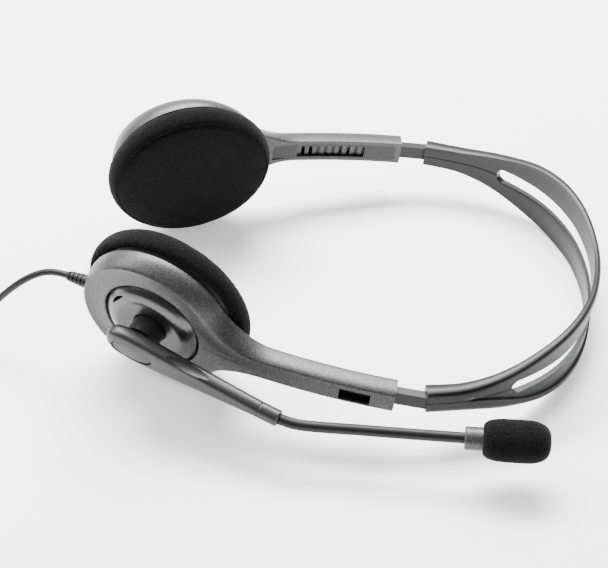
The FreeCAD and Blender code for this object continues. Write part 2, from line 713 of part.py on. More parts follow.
def make_microphone():
    frame = mic_frame()
    turned("mic_housing", frame, [
        (1.85, 0), ("Sizes.mic_radius - 0.3", 0), ("Sizes.mic_radius", 0.4), ("Sizes.mic_radius", 6.6),
        ("Sizes.mic_radius - 0.3", 7.0), (2.9, 7.0), (2.9, 13.0), (2.45, 13.0), (2.45, 9.5), (1.0, 9.5),
        (1.0, 3.1), (1.85, 3.1)])
    turned("mic_capsule", frame, [(0, 9.6), (2.4, 9.6), (2.4, 12.7), (0, 12.7)])
    turned("windscreen", frame, [
        (3.8, 5.2), (4.9, 5.5), (6.0, 7.6), ("Sizes.windscreen_radius", 10.8), ("Sizes.windscreen_radius", 19.4),
        (5.7, 22.8), (3.4, 24.8), (0, "Sizes.windscreen_tip"), (0, 13.4), (3.2, 13.4), (3.2, 7.4), (3.8, 7.4)])


# ---------------------------------------------------------------- cord

def relief_seat():
    """Where the strain relief sits in the left cup's wall, in the cup's frame."""
    root = Vector(-size("relief_start"), size("relief_across"), size("relief_height"))
    return Placement(root, Rotation(AXIS_Z, size("relief_droop")) * Rotation(AXIS_Y, -90))


def relief_frame():
    return cup_frame("left") * relief_seat()


def make_cord():
    """The strain relief, the free run, the stored coil with its tie, and the plug on its short tail."""
    radius = size("cord_diameter") / 2
    frame = relief_frame()
    tip = size("relief_tip")
    ribs = [(0, 0), (size("relief_root"), 0)]
    rib_start, rib_pitch = 3.4, 1.5
    for rib in range(RELIEF_RIBS):
        height = rib_start + rib * rib_pitch
        outer = size("relief_root") - 0.11 * rib
        ribs += [(outer, height), (outer - 0.35, height + 0.15), (outer - 0.35, height + 0.45),
                 (outer - 0.1, height + 0.6)]
    ribs += [(1.35, tip), (0, tip)]
    turned("strain_relief", frame, ribs)

    start = frame.multVec(Vector(0, 0, tip))
    points = [start, frame.multVec(Vector(0, 0, tip + size("cord_lead")))] + CORD_ROUTE
    path = rounded_path(points)
    run = round_tube(path, radius, start, points[1] - points[0])
    report_tube("cord_run", path, radius, run)
    coil = make_coil()
    free_shape("cord_run", run.cut(coil.Shape), Placement())

    tail = TAIL_ROUTE + [Vector(size("plug_x"), size("plug_y"), size("plug_height"))]
    tail_path = rounded_path(tail)
    tail_tube = round_tube(tail_path, radius, tail[0], tail[1] - tail[0])
    report_tube("cord_tail", tail_path, radius, tail_tube)
    free_shape("cord_tail", tail_tube.cut(coil.Shape), Placement())
    make_plug()


def report_tube(label, path, radius, tube):
    wire, radii = path
    section_times_length = math.pi * radius ** 2 * wire.Length
    print(label, "length %.1f" % wire.Length, "radii", [round(r, 1) for r in radii],
          "volume %.1f against %.1f" % (tube.Volume, section_times_length))


def coil_ring(half_width, low, high, corner):
    """The outer shape of the wound coil: a ring with a rounded section."""
    mean = size("coil_radius")
    return revolved([
        (mean - half_width + corner, low), (mean + half_width - corner, low), (mean + half_width, low + corner),
        (mean + half_width, high - corner), (mean + half_width - corner, high), (mean - half_width + corner, high),
        (mean - half_width, high - corner), (mean - half_width, low + corner)])


def make_coil():
    half, high = size("coil_half_width"), size("coil_height")
    place = Placement(Vector(size("coil_x"), size("coil_y"), 0), Rotation())
    mean = size("coil_radius")
    width, over = size("tie_width"), 2
    corner = Vector(mean - half - over, -width / 2, -over)
    sector = Part.makeBox(2 * (half + over), width, high + 2 * over, corner)
    sector.rotate(ORIGIN, AXIS_Z, size("tie_angle"))
    whole = coil_ring(half, 0, high, 2.2)
    waist = coil_ring(half - size("tie_thickness"), size("tie_thickness"), high - size("tie_thickness"), 2.0)
    tie = whole.common(sector).cut(waist)
    coil = whole.cut(sector).fuse(waist.common(sector)).removeSplitter()
    free_shape("cord_tie", tie.removeSplitter(), place)
    return free_shape("cord_coil", coil, place)


def make_plug():
    """A four-contact 3.5 mm plug, lying beside the coil."""
    frame = Placement(Vector(size("plug_x"), size("plug_y"), size("plug_height")), Rotation(AXIS_X, -90))
    turned("plug_body", frame, [
        (0, 0), (1.6, 0), (2.2, 8.0), ("Sizes.plug_body_radius - 0.6", 9.0), ("Sizes.plug_body_radius", 10.5),
        ("Sizes.plug_body_radius", 22.0), ("Sizes.plug_body_radius - 0.8", 24.0), (2.4, 24.0), (0, 24.0)])
    turned("plug_contact", frame, [
        (0, 24.0), (2.4, 24.0), (2.4, 24.6), (1.75, 24.6), (1.75, 35.6), (1.35, 36.3), (1.7, 37.2), (0.6, 38.6),
        (0, 38.6)])


# ---------------------------------------------------------------- build and write

def check_and_export():
    doc.recompute()
    for node in doc.Objects:
        if "Invalid" in node.State or "Error" in node.State:
            raise RuntimeError(f"{node.Label} failed: {node.State}")
    os.makedirs("parts", exist_ok=True)
    for node in pieces:
        shape = node.Shape
        if shape.isNull() or not shape.isValid():
            raise RuntimeError(f"{node.Label} has no valid shape")
        shape.exportStep(f"parts/{node.Label}.step")


make_headband()
make_sliders()
make_arms()
make_capsules()
make_dials()
make_boom()
make_microphone()
make_cord()
check_and_export()
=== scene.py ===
"""Looks for the office headset: camera, cord, soft pieces, refined painted pieces, materials and light.

Everything is in metres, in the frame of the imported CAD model.
"""
import json
import math

import bmesh
import bpy
from mathutils import Matrix, Vector


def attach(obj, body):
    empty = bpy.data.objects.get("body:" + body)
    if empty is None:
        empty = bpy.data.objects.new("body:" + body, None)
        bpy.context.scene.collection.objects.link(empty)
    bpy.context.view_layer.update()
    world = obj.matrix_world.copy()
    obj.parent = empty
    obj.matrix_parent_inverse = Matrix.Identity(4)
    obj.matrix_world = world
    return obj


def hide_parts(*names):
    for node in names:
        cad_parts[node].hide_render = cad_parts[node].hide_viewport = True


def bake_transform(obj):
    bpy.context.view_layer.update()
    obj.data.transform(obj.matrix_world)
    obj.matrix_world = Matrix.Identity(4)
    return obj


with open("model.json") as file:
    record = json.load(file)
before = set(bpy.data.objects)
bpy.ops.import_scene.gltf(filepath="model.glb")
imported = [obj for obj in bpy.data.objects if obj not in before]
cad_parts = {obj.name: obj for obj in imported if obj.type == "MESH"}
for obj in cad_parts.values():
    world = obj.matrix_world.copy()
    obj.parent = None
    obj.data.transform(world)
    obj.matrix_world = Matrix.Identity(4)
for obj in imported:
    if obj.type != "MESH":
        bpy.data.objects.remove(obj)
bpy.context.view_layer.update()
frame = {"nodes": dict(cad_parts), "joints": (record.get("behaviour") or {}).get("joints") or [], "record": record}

NODES = frame["nodes"]
JOINTS = {joint["name"]: joint for joint in frame["joints"]}
SIDES = ("left", "right")
MM = 0.001
WELD = 2e-6


# ---------------------------------------------------------------- places

def axes_at(origin, x_axis, y_axis):
    """The placement of a local frame, from its origin and its first two axes."""
    z_axis = x_axis.cross(y_axis)
    turn = Matrix((x_axis, y_axis, z_axis)).transposed()
    return Matrix.Translation(origin) @ turn.to_4x4()


def joint_axis(name):
    return Vector(JOINTS[name]["axis"]).normalized()


CUP_BASE_HEIGHT = 0.3 * MM


def cup_frame(side):
    """X towards the band, Z out of the earpiece, at the ball of its swivel."""
    centre = Vector(JOINTS[f"{side}_swivel_tilt"]["pos_m"])
    return axes_at(centre, joint_axis(f"{side}_swivel_tilt"), joint_axis(f"{side}_swivel_turn"))


def cup_base(side):
    """The cup frame moved to the height that the CAD's earpiece is measured from."""
    return cup_frame(side) @ Matrix.Translation((0, 0, CUP_BASE_HEIGHT))


def boom_frame():
    """X along the boom, Z out of the boom's face, on the axis that it turns about."""
    outward = joint_axis("boom_turn")
    across = joint_axis("mic_bend")
    return axes_at(Vector(JOINTS["boom_turn"]["pos_m"]), across.cross(outward), across)


# ---------------------------------------------------------------- camera

def make_camera():
    azimuth, elevation, roll = math.radians(3.33), math.radians(41.89), math.radians(-0.57)
    target = Vector((-0.01063, -0.00399, 0.01889))
    distance = 0.5535
    back = Vector((math.sin(azimuth) * math.cos(elevation), -math.cos(azimuth) * math.cos(elevation),
                   math.sin(elevation)))
    level = Vector((math.cos(azimuth), math.sin(azimuth), 0))
    place = axes_at(target + back * distance, level, back.cross(level))
    camera = bpy.data.objects.new("camera", bpy.data.cameras.new("camera"))
    camera.matrix_world = place @ Matrix.Rotation(roll, 4, "Z")
    camera.data.lens = 102.4
    camera.data.sensor_width = 36
    camera.data.clip_start = 0.01
    bpy.context.scene.collection.objects.link(camera)
    bpy.context.scene.camera = camera


# ---------------------------------------------------------------- mesh helpers

def mesh_object(name, mesh, place=None):
    thing = bpy.data.objects.new(name, mesh)
    bpy.context.scene.collection.objects.link(thing)
    if place is not None:
        mesh.transform(place)
    return thing


def to_object(work, name, place=None):
    """Turns the faces outward and makes the object."""
    bmesh.ops.recalc_face_normals(work, faces=work.faces)
    mesh = bpy.data.meshes.new(name)
    work.to_mesh(mesh)
    work.free()
    return mesh_object(name, mesh, place)


def weld(work):
    """Joins points and drops faces closer together than 2 micrometres."""
    bmesh.ops.remove_doubles(work, verts=work.verts, dist=WELD)
    bmesh.ops.dissolve_degenerate(work, dist=WELD, edges=work.edges)


def loft(name, rings, place=None):
    """A closed body through rings of points, with a flat face at each end."""
    work = bmesh.new()
    rings = [[work.verts.new(point) for point in ring] for ring in rings]
    for before, after in zip(rings, rings[1:]):
        for i in range(len(before)):
            j = (i + 1) % len(before)
            work.faces.new((before[i], before[j], after[j], after[i]))
    work.faces.new(rings[0])
    work.faces.new(rings[-1])
    return to_object(work, name, place)


def finish_mesh(mesh, sharp_angle=40):
    mesh.shade_smooth()
    mesh.set_sharp_from_angle(angle=math.radians(sharp_angle))


def rounded(profile, steps=6):
    """A smooth line through the profile's points (radius, height)."""
    points = [Vector(point) for point in profile]
    line = []
    for index in range(len(points) - 1):
        before = points[max(index - 1, 0)]
        start, stop = points[index], points[index + 1]
        after = points[min(index + 2, len(points) - 1)]
        for step in range(steps):
            t = step / steps
            line.append(0.5 * ((2 * start) + (stop - before) * t
                               + (2 * before - 5 * start + 4 * stop - after) * t ** 2
                               + (3 * start - before - 3 * stop + after) * t ** 3))
    line.append(points[-1])
    return line


def smoothstep(low, high, value):
    share = min(max((value - low) / (high - low), 0), 1)
    return share * share * (3 - 2 * share)


def lathe(name, line, place, segments=96, closed=False):
    """Turns a line of (radius, height) in mm about the local Z axis."""
    work = bmesh.new()
    rings = []
    for radius, height in line:
        if radius < 1e-6:
            rings.append([work.verts.new((0, 0, height * MM))])
            continue
        rings.append([work.verts.new((radius * MM * math.cos(2 * math.pi * i / segments),
                                      radius * MM * math.sin(2 * math.pi * i / segments), height * MM))
                      for i in range(segments)])
    pairs = list(zip(rings, rings[1:] + rings[:1] if closed else rings[1:]))
    for low, high in pairs:
        for i in range(segments):
            j = (i + 1) % segments
            corners = []
            for vert in (low[i % len(low)], low[j % len(low)], high[j % len(high)], high[i % len(high)]):
                if vert not in corners:
                    corners.append(vert)
            if len(corners) > 2:
                work.faces.new(corners)
    return to_object(work, name, place)


# ---------------------------------------------------------------- cord

CORD_DIAMETER = 0.0022
CORD_ROUTE = [
    (-0.08338, -0.01741, 0.03173), (-0.08884, -0.01492, 0.03162), (-0.0964, -0.0152, 0.0288),
    (-0.1036, -0.0150, 0.0226), (-0.1106, -0.0148, 0.0148), (-0.1178, -0.0143, 0.0072),
    (-0.1260, -0.0128, 0.0024), (-0.1350, -0.0103, 0.0013),
]
TAIL_ROUTE = [(-0.1684, 0.0098, 0.0038), (-0.1692, 0.0154, 0.0039), (-0.1692, 0.0213, 0.0039)]
COIL_CENTRE = Vector((-0.1455, 0.0113, 0))
COIL_LAYERS = 4
COIL_TURNS = 15.203
COIL_POINTS_IN_TURN = 24
COIL_OUTSIDE = 0.0200
COIL_INSIDE = 0.0116
COIL_START_ANGLE = math.radians(-87)
COIL_FIRST_HEIGHT = 0.0013
COIL_LAYER_PITCH = 0.0023
COIL_CLIMB_TURNS = 0.35
COIL_LEAVING_TURNS = 0.45
COIL_LEAVING_OUT = 0.0024
COIL_END_HEIGHT = 0.0037


def coil_points():
    """Four layers wound clockwise, inwards and outwards in turn; the last part turn comes down outside."""
    turns_in_layer = COIL_TURNS / COIL_LAYERS
    points = []
    for step in range(int(COIL_TURNS * COIL_POINTS_IN_TURN) + 1):
        turn = step / COIL_POINTS_IN_TURN
        layer, share = divmod(turn / turns_in_layer, 1)
        inwards = share if layer % 2 == 0 else 1 - share
        radius = COIL_OUTSIDE + (COIL_INSIDE - COIL_OUTSIDE) * inwards
        height = COIL_FIRST_HEIGHT + COIL_LAYER_PITCH * layer
        if layer:
            height -= COIL_LAYER_PITCH * (1 - smoothstep(0, COIL_CLIMB_TURNS, share * turns_in_layer))
        leaving = smoothstep(COIL_TURNS - COIL_LEAVING_TURNS, COIL_TURNS, turn)
        radius += COIL_LEAVING_OUT * leaving
        height += (COIL_END_HEIGHT - height) * leaving
        angle = COIL_START_ANGLE - 2 * math.pi * turn
        points.append(COIL_CENTRE + Vector((radius * math.cos(angle), radius * math.sin(angle), height)))
    return points


def make_cord():
    points = [Vector(point) for point in CORD_ROUTE]
    points += coil_points()
    points += [Vector(point) for point in TAIL_ROUTE]
    curve = bpy.data.curves.new("cord", "CURVE")
    curve.dimensions = "3D"
    curve.bevel_depth = CORD_DIAMETER / 2
    curve.bevel_resolution = 6
    curve.use_fill_caps = True
    spline = curve.splines.new("NURBS")
    spline.points.add(len(points) - 1)
    for control, point in zip(spline.points, points):
        control.co = (*point, 1)
    spline.order_u = 3
    spline.use_endpoint_u = True
    spline.resolution_u = 5
    cord = bpy.data.objects.new("cord", curve)
    bpy.context.scene.collection.objects.link(cord)
    cord.data.materials.append(CORD_RUBBER)
    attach(cord, "arm_left")
    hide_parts("cord_run", "cord_coil", "cord_tail")


# ---------------------------------------------------------------- materials

class Shader:
    """A material's node tree, built one named step at a time."""

    def __init__(self, name, **sockets):
        self.material = bpy.data.materials.new(name)
        self.material.use_nodes = True
        self.nodes = self.material.node_tree.nodes
        self.links = self.material.node_tree.links
        self.surface = self.nodes["Principled BSDF"]
        self.place = self.add("ShaderNodeTexCoord").outputs["Object"]
        self.bumps = None
        for label, value in sockets.items():
            self.surface.inputs[label.replace("_", " ")].default_value = value

    def add(self, kind, **settings):
        node = self.nodes.new(kind)
        for label, value in settings.items():
            setattr(node, label, value)
        return node

    def noise(self, scale, detail=2.0, roughness=0.5, stretch=None):
        node = self.add("ShaderNodeTexNoise")
        node.inputs["Scale"].default_value = scale
        node.inputs["Detail"].default_value = detail
        node.inputs["Roughness"].default_value = roughness
        self.links.new(self.stretched(stretch), node.inputs["Vector"])
        return node.outputs["Fac"]

    def cells(self, scale, feature="F1"):
        node = self.add("ShaderNodeTexVoronoi", feature=feature)
        node.inputs["Scale"].default_value = scale
        self.links.new(self.place, node.inputs["Vector"])
        return node

    def stretched(self, stretch):
        if stretch is None:
            return self.place
        node = self.add("ShaderNodeMapping")
        node.inputs["Scale"].default_value = stretch
        self.links.new(self.place, node.inputs["Vector"])
        return node.outputs["Vector"]

    def ramp(self, value, stops):
        """Colours by value: stops are (position, grey or colour)."""
        node = self.add("ShaderNodeValToRGB")
        marks = node.color_ramp.elements
        while len(marks) < len(stops):
            marks.new(0.5)
        for mark, (position, shade) in zip(marks, stops):
            mark.position = position
            mark.color = (shade, shade, shade, 1) if isinstance(shade, (int, float)) else (*shade, 1)
        self.links.new(value, node.inputs["Fac"])
        return node.outputs["Color"]

    def colour(self, value):
        self.links.new(value, self.surface.inputs["Base Color"])

    def roughness(self, value, low, high):
        node = self.add("ShaderNodeMapRange")
        node.inputs["To Min"].default_value = low
        node.inputs["To Max"].default_value = high
        self.links.new(value, node.inputs["Value"])
        self.links.new(node.outputs["Result"], self.surface.inputs["Roughness"])

    def bump(self, value, depth, strength=1.0):
        """Raises the surface by the value, over a depth in metres, on top of earlier bumps."""
        node = self.add("ShaderNodeBump")
        node.inputs["Strength"].default_value = strength
        node.inputs["Distance"].default_value = depth
        self.links.new(value, node.inputs["Height"])
        if self.bumps is not None:
            self.links.new(self.bumps, node.inputs["Normal"])
        self.bumps = node.outputs["Normal"]
        self.links.new(self.bumps, self.surface.inputs["Normal"])


def silver_paint(name, dark, light, roughness, speckle):
    """Metallic paint with fine aluminium flakes in it."""
    shader = Shader(name, Metallic=0.45)
    flakes = shader.noise(2900, detail=3, roughness=0.8)
    middle = (dark + light) / 2
    shader.colour(shader.ramp(flakes, [(0.32, middle - (light - dark) * speckle), (0.5, middle),
                                       (0.68, middle + (light - dark) * speckle)]))
    shader.roughness(flakes, roughness + 0.08, roughness - 0.08)
    shader.bump(flakes, 0.00006, 0.5)
    return shader.material


def satin_silver(name):
    shader = Shader(name, Metallic=0.9, Anisotropic=0.55)
    grain = shader.noise(1500, detail=2)
    shader.colour(shader.ramp(grain, [(0.3, 0.065), (0.7, 0.09)]))
    shader.roughness(grain, 0.27, 0.33)
    return shader.material


def moulded_plastic(name, shade, roughness, grain_depth=0.00002, metallic=0.0, tint=(1, 1, 1)):
    """Plastic with the fine spark-eroded grain of its mould and a slow drift in gloss."""
    shader = Shader(name, Metallic=metallic, Specular_IOR_Level=0.28)
    grain = shader.noise(3200, detail=2)
    drift = shader.noise(40, detail=3)
    low = tuple(shade * 0.9 * channel for channel in tint)
    high = tuple(shade * 1.1 * channel for channel in tint)
    shader.colour(shader.ramp(drift, [(0.3, low), (0.7, high)]))
    shader.roughness(drift, roughness - 0.05, roughness + 0.05)
    shader.bump(grain, grain_depth)
    return shader.material


def foam(name, shade):
    """Open-cell foam: a fine irregular web with dark pores."""
    shader = Shader(name, Roughness=0.95, Specular_IOR_Level=0.05, Sheen_Weight=0.04, Sheen_Roughness=0.5)
    pores = shader.cells(1900).outputs["Distance"]
    lint = shader.noise(2600, detail=4, roughness=0.8)
    shader.colour(shader.ramp(lint, [(0.35, shade * 0.5), (0.5, shade * 1.5), (0.7, shade * 6)]))
    shader.bump(pores, 0.0003, 0.8)
    shader.bump(lint, 0.0002, 0.6)
    return shader.material


def rubber(name, shade, roughness=0.5):
    shader = Shader(name, Roughness=roughness, Specular_IOR_Level=0.3)
    skin = shader.noise(2500, detail=2)
    drift = shader.noise(120, detail=2)
    shader.colour(shader.ramp(drift, [(0.3, shade * 0.8), (0.7, shade * 1.2)]))
    shader.bump(skin, 0.00002)
    return shader.material


def plain_metal(name, colour, roughness):
    shader = Shader(name, Metallic=1.0)
    scratches = shader.noise(900, detail=3, stretch=(1, 1, 6))
    shader.colour(shader.ramp(scratches, [(0.3, tuple(c * 0.85 for c in colour)), (0.7, colour)]))
    shader.roughness(scratches, roughness - 0.06, roughness + 0.06)
    return shader.material


ARM_SILVER = silver_paint("arm_silver", 0.018, 0.078, 0.42, 0.9)
BOOM_SILVER = silver_paint("boom_silver", 0.020, 0.042, 0.36, 0.6)
DIAL_SILVER = satin_silver("dial_silver")
BAND_PLASTIC = moulded_plastic("band_plastic", 0.010, 0.36, metallic=0.15)
SLIDER_PLASTIC = moulded_plastic("slider_plastic", 0.012, 0.38, metallic=0.15)
INNER_PLASTIC = moulded_plastic("inner_plastic", 0.036, 0.45, metallic=0.3)
DRIVER_PLASTIC = moulded_plastic("driver_plastic", 0.04, 0.5)
FILM = moulded_plastic("film", 0.5, 0.3, tint=(1, 0.95, 0.8))
STEEL = plain_metal("steel", (0.62, 0.62, 0.62), 0.35)
CONTACT_METAL = plain_metal("contact_metal", (0.83, 0.66, 0.35), 0.25)
FOAM = foam("foam", 0.0022)
CORD_RUBBER = rubber("cord_rubber", 0.003)

# Which material a CAD node's slot takes.
NODE_MATERIALS = {
    "arm_silver": ARM_SILVER, "dial_silver": DIAL_SILVER, "band_plastic": BAND_PLASTIC,
    "slider_plastic": SLIDER_PLASTIC, "inner_plastic": INNER_PLASTIC, "driver_plastic": DRIVER_PLASTIC,
    "film": FILM, "steel": STEEL, "contact_metal": CONTACT_METAL, "foam": FOAM, "cord_rubber": CORD_RUBBER,
}
SMOOTH_SILVER_NODES = ("boom_hub", "boom_badge", "boom_collar")


def dress_nodes():
    """Gives every CAD node the procedural material of its slot."""
    for subpart in frame["record"]["subparts"]:
        node = NODES[subpart["node"]]
        for place in node.material_slots:
            place.material = NODE_MATERIALS[subpart["material_slot"]]
    for name in SMOOTH_SILVER_NODES:
        for place in NODES[name].material_slots:
            place.material = BOOM_SILVER


# ---------------------------------------------------------------- soft pieces

CLOTH_PRESSURE = 4.0
CLOTH_FRAMES = 20
CLOTH_VOXEL = 0.0010


def puff(thing, cap):
    """Swells a padded piece by cloth simulation, each point by no more than the cap."""
    remesh = thing.modifiers.new("remesh", "REMESH")
    remesh.mode = "VOXEL"
    remesh.voxel_size = CLOTH_VOXEL
    apply_modifiers(thing)
    before = [vertex.co.copy() for vertex in thing.data.vertices]
    cloth = thing.modifiers.new("cloth", "CLOTH")
    cloth.settings.use_pressure = True
    cloth.settings.uniform_pressure_force = CLOTH_PRESSURE
    cloth.settings.effector_weights.gravity = 0
    scene = bpy.context.scene
    for step in range(1, CLOTH_FRAMES + 1):
        scene.frame_set(step)
    apply_modifiers(thing)
    for vertex, start in zip(thing.data.vertices, before):
        move = vertex.co - start
        if move.length > cap:
            vertex.co = start + move.normalized() * cap
    scene.frame_set(1)
    smooth = thing.modifiers.new("smooth", "SUBSURF")
    smooth.levels = smooth.render_levels = 1
    apply_modifiers(thing)


def apply_modifiers(thing):
    bpy.context.view_layer.update()
    evaluated = thing.evaluated_get(bpy.context.evaluated_depsgraph_get())
    result = bpy.data.meshes.new_from_object(evaluated)
    thing.modifiers.clear()
    thing.data = result


# The pad's profile as (radius, height) in mm; its face is at -10.
PAD_PROFILE = [
    (0, -8.2), (12, -8.2), (24.3, -8.1), (24.6, -6.0), (24.6, -2.5), (25.4, -1.6), (26.9, -1.9),
    (27.7, -3.4), (27.8, -5.2), (27.4, -7.0), (26.3, -8.7), (24.6, -9.4), (21.0, -9.8), (12, -10.0),
    (0, -10.0),
]
PAD_SWELL = 0.3 * MM
SEAM_RADIUS = 25.4
SEAM_WIDTH = 0.5
SEAM_DEPTH = 0.5
PAD_FACE_LIMIT = -7.5


def seam(thing, place):
    """Presses a narrow round seam into the face of a pad, near its edge."""
    back = place.inverted()
    for vertex in thing.data.vertices:
        local = back @ vertex.co / MM
        if local.z > PAD_FACE_LIMIT:
            continue
        offset = (local.xy.length - SEAM_RADIUS) / SEAM_WIDTH
        vertex.co = place @ ((local + Vector((0, 0, SEAM_DEPTH * math.exp(-offset ** 2)))) * MM)


def make_ear_pad(side):
    """A foam disc that wraps round the earpiece's rim, with a seam pressed in near its face's edge."""
    place = cup_frame(side)
    pad = lathe(f"ear_pad_{side}_foam", rounded(PAD_PROFILE), place)
    puff(pad, PAD_SWELL)
    seam(pad, place)
    finish_mesh(pad.data, 80)
    pad.data.materials.append(FOAM)
    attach(pad, f"capsule_{side}")
    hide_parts(f"ear_pad_{side}")


MIC_BASE = Vector((0.03976, -0.06573, 0.01548))
MIC_AXIS = Vector((0.99843, -0.05510, 0.01040))


def mic_frame():
    """Z along the microphone, from the gooseneck's end."""
    side = Vector((0, 1, 0)).cross(MIC_AXIS).normalized()
    return axes_at(MIC_BASE, side, MIC_AXIS.cross(side))


# The windscreen's profile as (radius, distance from the gooseneck's end) in mm.
WINDSCREEN_PROFILE = [
    (3.7, 5.4), (4.6, 5.5), (5.6, 6.8), (6.2, 9.0), (6.4, 12.0), (6.4, 18.0), (6.1, 21.0), (5.0, 23.6),
    (3.0, 25.0), (0, 25.4),
]


def make_windscreen():
    screen = lathe("windscreen_foam", rounded(WINDSCREEN_PROFILE), mic_frame(), segments=72)
    finish_mesh(screen.data, 80)
    screen.data.materials.append(FOAM)
    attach(screen, "mic")
    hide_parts("windscreen")


# ---------------------------------------------------------------- painted arms and earpiece shells

ARM_RADIUS = 0.230
ARM_LENGTH = 48.0
ARM_INNER_WALL = 2.6
ARM_MOUTH = {"left": Vector((0.0192, -0.0506, 0.0171)), "right": Vector((0.0192, 0.0702, 0.0171))}
FLARE_RADIUS = 24.0
BAR_POINTS = 30
FLARE_POINTS = 12
CUP_POINTS = 40
ARC_STEPS = 16
# Each loop of the shell's skin: cup radius, its shift away from the band, height over the cup,
# then half the arm's width and the height over the arm's inner face.
ARM_LOOPS = [
    (17.0, 0, -0.8, 0, 0), (21.0, 0, -0.8, 1.6, 0), (24.9, 0, -0.8, 3.9, 0), (25.25, 0, -0.5, 4.12, 0.3),
    (25.35, 0, 0.4, 4.2, 1.0), (25.2, 0.1, 1.5, 4.18, 2.4), (24.8, 0.3, 2.7, 4.1, 3.8),
    (24.2, 0.6, 3.8, 3.9, 5.0), (23.5, 0.9, 4.9, 3.55, 5.95), (22.9, 1.2, 5.65, 3.2, 6.4),
    (22.6, 1.25, 5.8, 3.0, 6.5), (22.2, 1.25, 5.7, 2.8, 6.45), (20.2, 0.8, 5.5, 1.9, 6.4),
    (18.2, 0.2, 5.6, 0.8, 6.4), (17.2, 0, 5.75, 0, 6.4),
]
# The round recess of the dial, as (radius, height), and the radius where the arm's edge meets it.
RECESS_LOOPS = [(16.9, 5.8), (16.5, 5.65), (16.3, 5.3), (16.2, 4.6), (16.2, 2.8), (0, 2.8)]
RECESS_RIM = 17.2
RECESS_ARM_HEIGHT = 6.3
SHELL_FLOOR = -0.8
# The skin follows the cup up to the first distance from its middle, and the arm's arc beyond the second.
CUP_TO_ARM = (15, 42)
# The hollow behind the shell, as (radius, height).
CAVITY = [(0, -3), (23.7, -3), (23.7, 1.2), (22.9, 2.7), (21.5, 3.8), (17.9, 3.6), (17.9, 1.3), (0, 1.3)]
# Cuts along the arm: start, end, then inner, outer, low and high.
ARM_CUTS = [
    (-1, 41, -1.55, 1.55, -2.5, 2.5),
    (2, 46, -ARM_INNER_WALL - 1, -ARM_INNER_WALL + 1.05, -3.0, 3.0),
    (7.2, 16.6, 0, 6, -2.6, 1.4),
]


def arc_point(side, distance, offset, height):
    """A point of the arm in mm: along it from its mouth, outward, and up across its width."""
    centre = Vector(JOINTS[f"{side}_adjust"]["pos_m"])
    axis = joint_axis(f"{side}_adjust")
    spoke = Matrix.Rotation(distance * MM / ARM_RADIUS, 3, axis) @ (ARM_MOUTH[side] - centre)
    up = axis if side == "right" else -axis
    return centre + spoke + spoke.normalized() * offset * MM + up * height * MM


def arm_outline(radius, shift, half, mouth):
    """Half of one loop seen square on: the bar's edge, the flare and half of the cup, as (x, y)."""
    reach = math.sqrt((radius + FLARE_RADIUS) ** 2 - (half + FLARE_RADIUS) ** 2) - shift
    points = [(mouth + (reach - mouth) * i / BAR_POINTS, half) for i in range(BAR_POINTS)]
    lean = math.atan2(half + FLARE_RADIUS, reach + shift)
    for i in range(FLARE_POINTS):
        angle = -math.pi / 2 - (math.pi / 2 - lean) * i / FLARE_POINTS
        points.append((reach + FLARE_RADIUS * math.cos(angle),
                       half + FLARE_RADIUS + FLARE_RADIUS * math.sin(angle)))
    for i in range(CUP_POINTS + 1):
        angle = lean + (math.pi - lean) * i / CUP_POINTS
        points.append((radius * math.cos(angle) - shift, radius * math.sin(angle)))
    return points


def make_arm(side):
    """The cup's shell and the arm as one painted skin, then hollowed out like the real moulding."""
    base = cup_base(side)
    tip = base.inverted() @ arc_point(side, ARM_LENGTH, 0, 0)
    mouth = tip.x / MM + ARM_LENGTH
    up = 1 if side == "left" else -1

    def place(x, y, cup_height, arm_height):
        on_cup = base @ Vector((x * MM, y * MM, cup_height * MM))
        on_arm = arc_point(side, mouth - x, arm_height - ARM_INNER_WALL, y * up)
        return on_cup.lerp(on_arm, smoothstep(*CUP_TO_ARM, x))

    work = bmesh.new()
    rings = []
    for radius, shift, cup_height, half, arm_height in ARM_LOOPS:
        line = arm_outline(radius, shift, half, mouth)
        line += [(x, -y) for x, y in reversed(line[:-1])]
        rings.append([work.verts.new(place(x, y, cup_height, arm_height)) for x, y in line])
    count = len(rings[0])
    cap = [ring[0] for ring in rings] + [ring[-1] for ring in reversed(rings)]
    circle = [math.atan2(y, x) for x, y in arm_outline(RECESS_RIM, 0, 0, mouth)]
    circle = [max(angle, 0) for angle in circle]
    circle += [-angle for angle in reversed(circle[:-1])]
    for radius, height in RECESS_LOOPS:
        rings.append([work.verts.new(place(radius * math.cos(angle), radius * math.sin(angle), height,
                                           RECESS_ARM_HEIGHT)) for angle in circle])
    floor = [work.verts.new(place(0, 0, SHELL_FLOOR, 0)) for _ in range(count)]
    rings.insert(0, floor)
    round_cup = range(BAR_POINTS, count - 1 - BAR_POINTS)
    last_loop = len(ARM_LOOPS)
    for index, (low, high) in enumerate(zip(rings, rings[1:])):
        for i in range(count - 1) if 0 < index < last_loop else round_cup:
            work.faces.new((low[i], low[i + 1], high[i + 1], high[i]))
    work.faces.new(cap)
    weld(work)
    arm = to_object(work, f"arm_skin_{side}")
    carve(arm, [lathe("cavity", CAVITY, base)] + [arc_block(side, *cut) for cut in ARM_CUTS])
    finish_mesh(arm.data, 32)
    arm.data.materials.append(ARM_SILVER)
    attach(arm, f"arm_{side}")
    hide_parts(f"arm_shell_{side}")


def arc_block(side, start, end, inner, outer, low, high):
    """A block bent along the arm's arc: the slider's body, and the shape of what is cut out."""
    rings = []
    for step in range(ARC_STEPS + 1):
        distance = start + (end - start) * step / ARC_STEPS
        rings.append([arc_point(side, distance, offset, height)
                      for offset, height in ((inner, low), (outer, low), (outer, high), (inner, high))])
    return loft("arc_block", rings)


